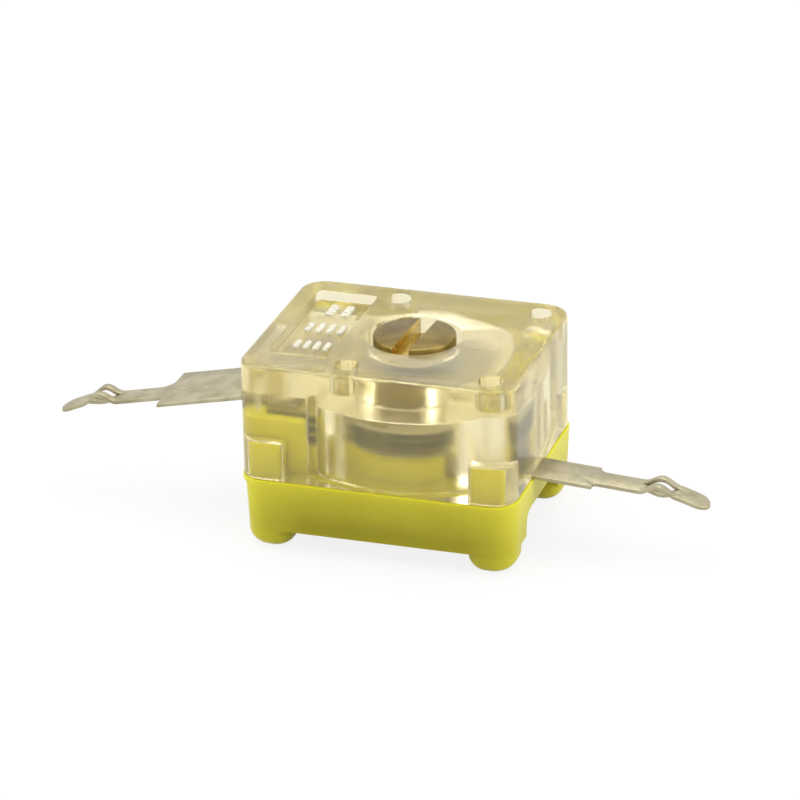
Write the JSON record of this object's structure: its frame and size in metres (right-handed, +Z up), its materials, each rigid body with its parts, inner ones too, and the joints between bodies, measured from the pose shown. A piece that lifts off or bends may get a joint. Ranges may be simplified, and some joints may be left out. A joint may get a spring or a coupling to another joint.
{
  "type": "variable capacitor",
  "caption": "Film trimmer capacitor with a yellow base, a clear cover, a slotted brass rotor and two flat kinked solder terminals.",
  "frame": {"origin": "on the rotor's axis, level with the underside of the feet", "axes": "+X towards the rotor terminal, +Y towards the back, +Z up along the rotor's axis out of the adjusting slot"},
  "size_m": [0.026, 0.0088, 0.0077],
  "materials": {
    "yellow_plastic": "semi-gloss moulded plastic",
    "clear_plastic": "clear cream-tinted moulded plastic",
    "brass": "turned brass, slightly tarnished",
    "vane_metal": "stamped sheet",
    "film": "thin clear film",
    "tinned_metal": "dull tinned sheet",
    "spring_bronze": "bronze spring sheet"
  },
  "bodies": {
    "housing": {"base": "yellow_plastic", "cover": "clear_plastic", "stator_vane_1": "vane_metal", "stator_vane_2": "vane_metal", "stator_vane_3": "vane_metal", "stator_vane_4": "vane_metal", "stator_spacer_front_1": "brass", "stator_spacer_front_2": "brass", "stator_spacer_front_3": "brass", "stator_spacer_back_1": "brass", "stator_spacer_back_2": "brass", "stator_spacer_back_3": "brass", "stator_pin_front": "tinned_metal", "stator_pin_back": "tinned_metal", "dielectric_film_1": "film", "dielectric_film_2": "film", "dielectric_film_3": "film", "dielectric_film_4": "film", "dielectric_film_5": "film", "dielectric_film_6": "film", "stator_terminal": "tinned_metal", "rotor_terminal": "tinned_metal", "contact_spring": "spring_bronze"},
    "rotor": {"rotor_spindle": "brass", "rotor_vane_1": "vane_metal", "rotor_vane_2": "vane_metal", "rotor_vane_3": "vane_metal", "rotor_spacer_1": "brass", "rotor_spacer_2": "brass", "thrust_washer": "brass", "end_washer": "tinned_metal"}
  },
  "joints": [
    {"name": "rotor_turn", "type": "hinge", "parent": "housing", "child": "rotor", "pos_m": [0, 0, 0.002], "axis": [0, 0, 1], "continuous": true}
  ]
}
